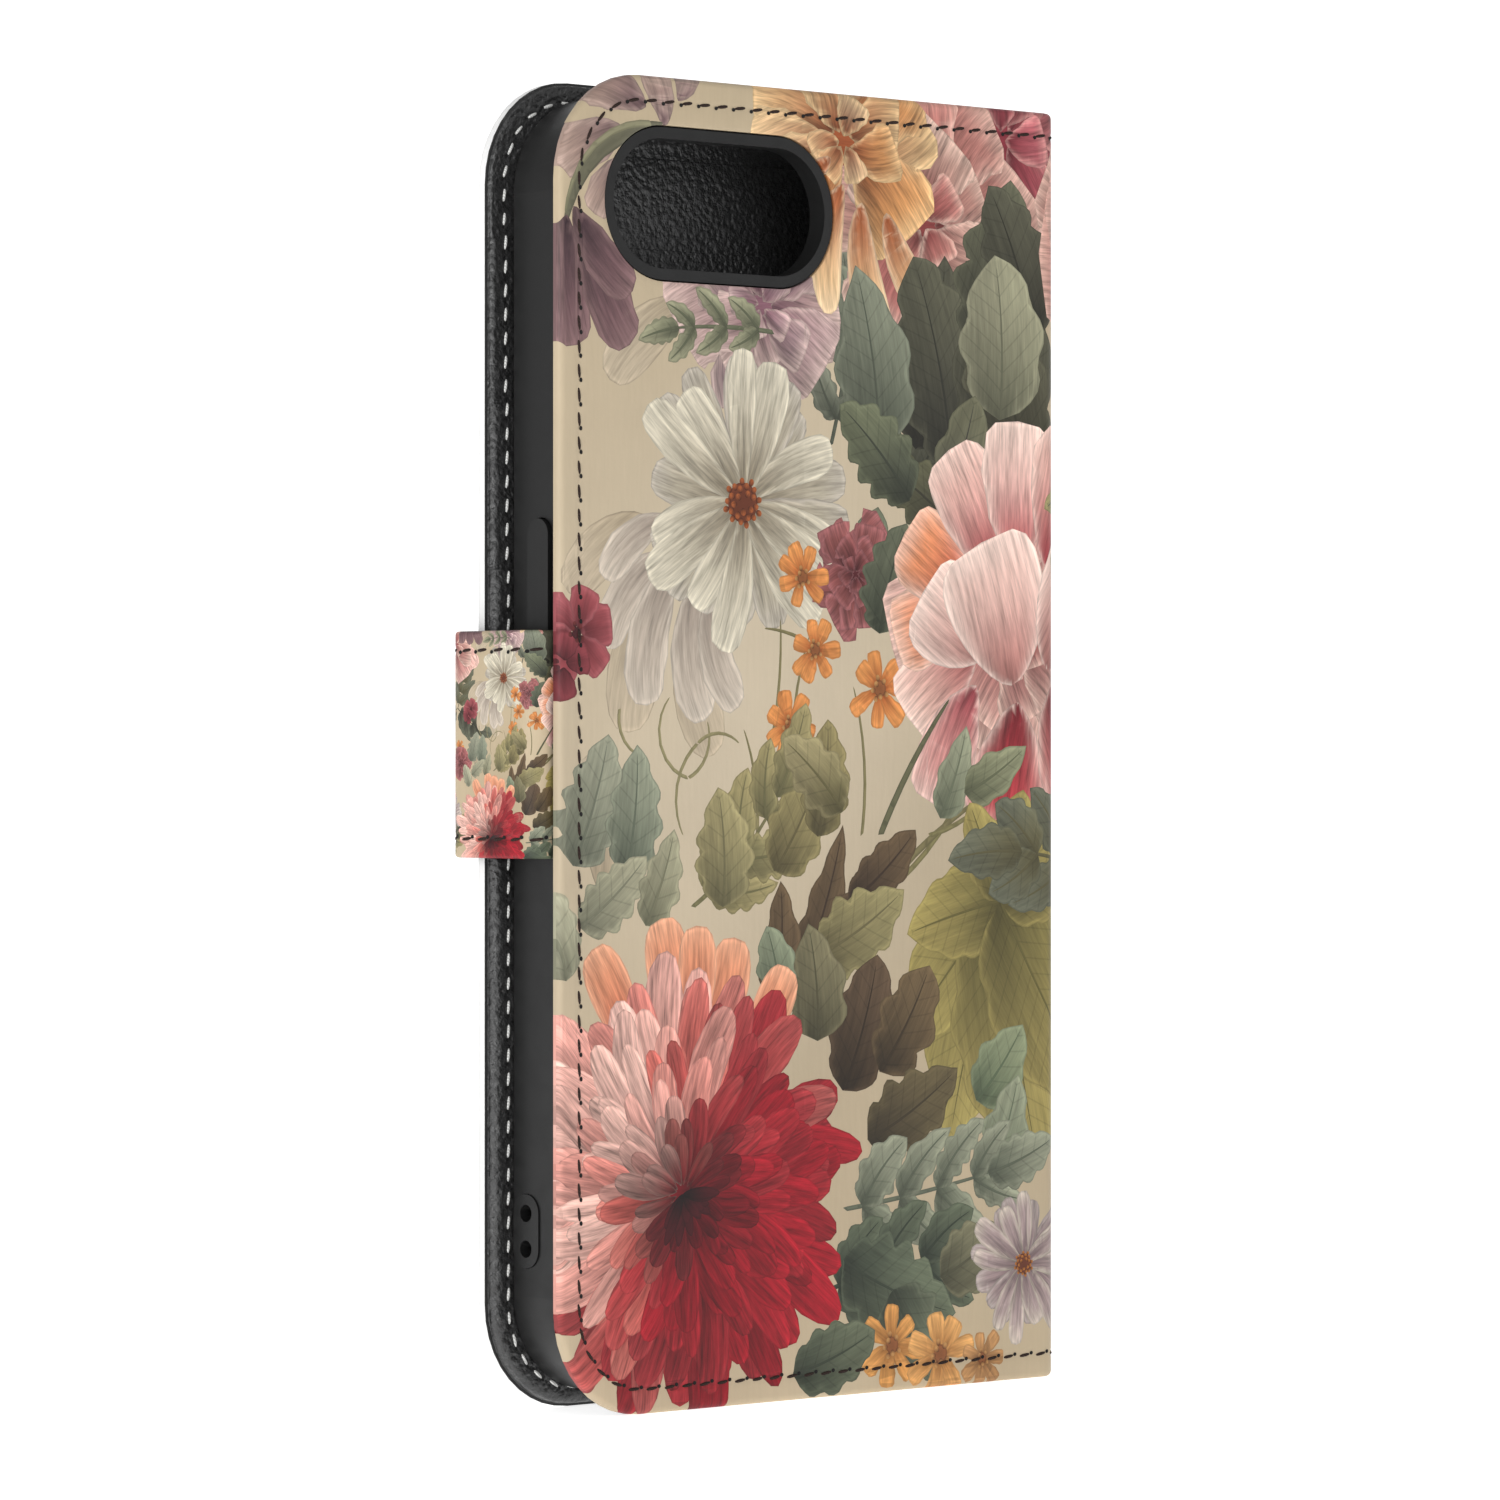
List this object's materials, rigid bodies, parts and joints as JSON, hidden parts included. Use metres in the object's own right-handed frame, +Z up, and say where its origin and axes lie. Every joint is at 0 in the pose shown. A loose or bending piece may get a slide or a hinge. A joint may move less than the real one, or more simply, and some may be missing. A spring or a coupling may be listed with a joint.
{
  "type": "wallet phone case",
  "caption": "Book-style wallet case for a phone: flower-printed leather covers on a folding spine, a soft inner tray, card pockets and a magnetic strap.",
  "frame": {"origin": "bottom centre of the closed case's box, strap included, on the surface it stands on", "axes": "+Z up along the case's height; -Y out of the back cover, the side with the camera window; +X towards the spine, so the strap and the opening edge are at -X"},
  "size_m": [0.0826, 0.0168, 0.1537],
  "materials": {
    "printed_leather": "smooth printed coated leather, soft sheen",
    "black_leather": "fine-grained black coated leather",
    "board": "pressed grey board",
    "dark_thread": "waxed dark sewing thread",
    "white_thread": "off-white sewing thread",
    "adhesive": "thin double-sided adhesive sheet",
    "tray_rubber": "satin black moulded soft plastic",
    "magnet_steel": "nickel-plated magnet disc"
  },
  "bodies": {
    "back_cover": {"back_skin": "printed_leather", "back_board": "board", "back_lining": "black_leather", "back_outer_thread": "dark_thread", "back_inner_thread": "white_thread", "tray_tape": "adhesive", "tray": "tray_rubber", "lanyard_insert": "tray_rubber", "strap_anchor": "printed_leather"},
    "power_key": {"power_key": "tray_rubber"},
    "action_key": {"action_key": "tray_rubber"},
    "volume_up_key": {"volume_up_key": "tray_rubber"},
    "volume_down_key": {"volume_down_key": "tray_rubber"},
    "strap_band": {"strap_band_skin": "printed_leather", "strap_band_lining": "black_leather", "strap_band_thread": "dark_thread"},
    "strap_tab": {"strap_tab_skin": "printed_leather", "strap_tab_lining": "black_leather", "strap_tab_thread": "dark_thread", "strap_tab_magnets": "magnet_steel"},
    "spine": {"spine_skin": "printed_leather", "spine_board": "board", "spine_lining": "black_leather", "spine_thread": "dark_thread"},
    "front_cover": {"front_skin": "printed_leather", "front_board": "board", "front_magnets": "magnet_steel", "front_lining": "black_leather", "bill_pocket": "black_leather", "card_pocket_upper": "black_leather", "card_pocket_middle": "black_leather", "card_pocket_lower": "black_leather", "front_outer_thread": "dark_thread", "front_inner_thread": "white_thread"}
  },
  "joints": [
    {"name": "back_crease", "type": "hinge", "parent": "back_cover", "child": "spine", "pos_m": [0.04058, -0.0077, 0.07685], "axis": [0, 0, -1], "range_deg": [0, 180]},
    {"name": "front_crease", "type": "hinge", "parent": "spine", "child": "front_cover", "pos_m": [0.04058, 0.0058, 0.07685], "axis": [0, 0, -1], "range_deg": [0, 180]},
    {"name": "strap_base_bend", "type": "hinge", "parent": "back_cover", "child": "strap_band", "pos_m": [-0.04018, -0.00561, 0.07685], "axis": [0, 0, 1], "range_deg": [0, 120]},
    {"name": "strap_tab_bend", "type": "hinge", "parent": "strap_band", "child": "strap_tab", "pos_m": [-0.04018, 0.00731, 0.07685], "axis": [0, 0, 1], "range_deg": [0, 90]},
    {"name": "power_key_press", "type": "slide", "parent": "back_cover", "child": "power_key", "axis": [1, 0, 0], "range_m": [0, 0.0004], "stiffness_N_per_m": 600},
    {"name": "action_key_press", "type": "slide", "parent": "back_cover", "child": "action_key", "axis": [-1, 0, 0], "range_m": [0, 0.0003], "stiffness_N_per_m": 600},
    {"name": "volume_up_key_press", "type": "slide", "parent": "back_cover", "child": "volume_up_key", "axis": [-1, 0, 0], "range_m": [0, 0.0003], "stiffness_N_per_m": 600},
    {"name": "volume_down_key_press", "type": "slide", "parent": "back_cover", "child": "volume_down_key", "axis": [-1, 0, 0], "range_m": [0, 0.0003], "stiffness_N_per_m": 600}
  ]
}
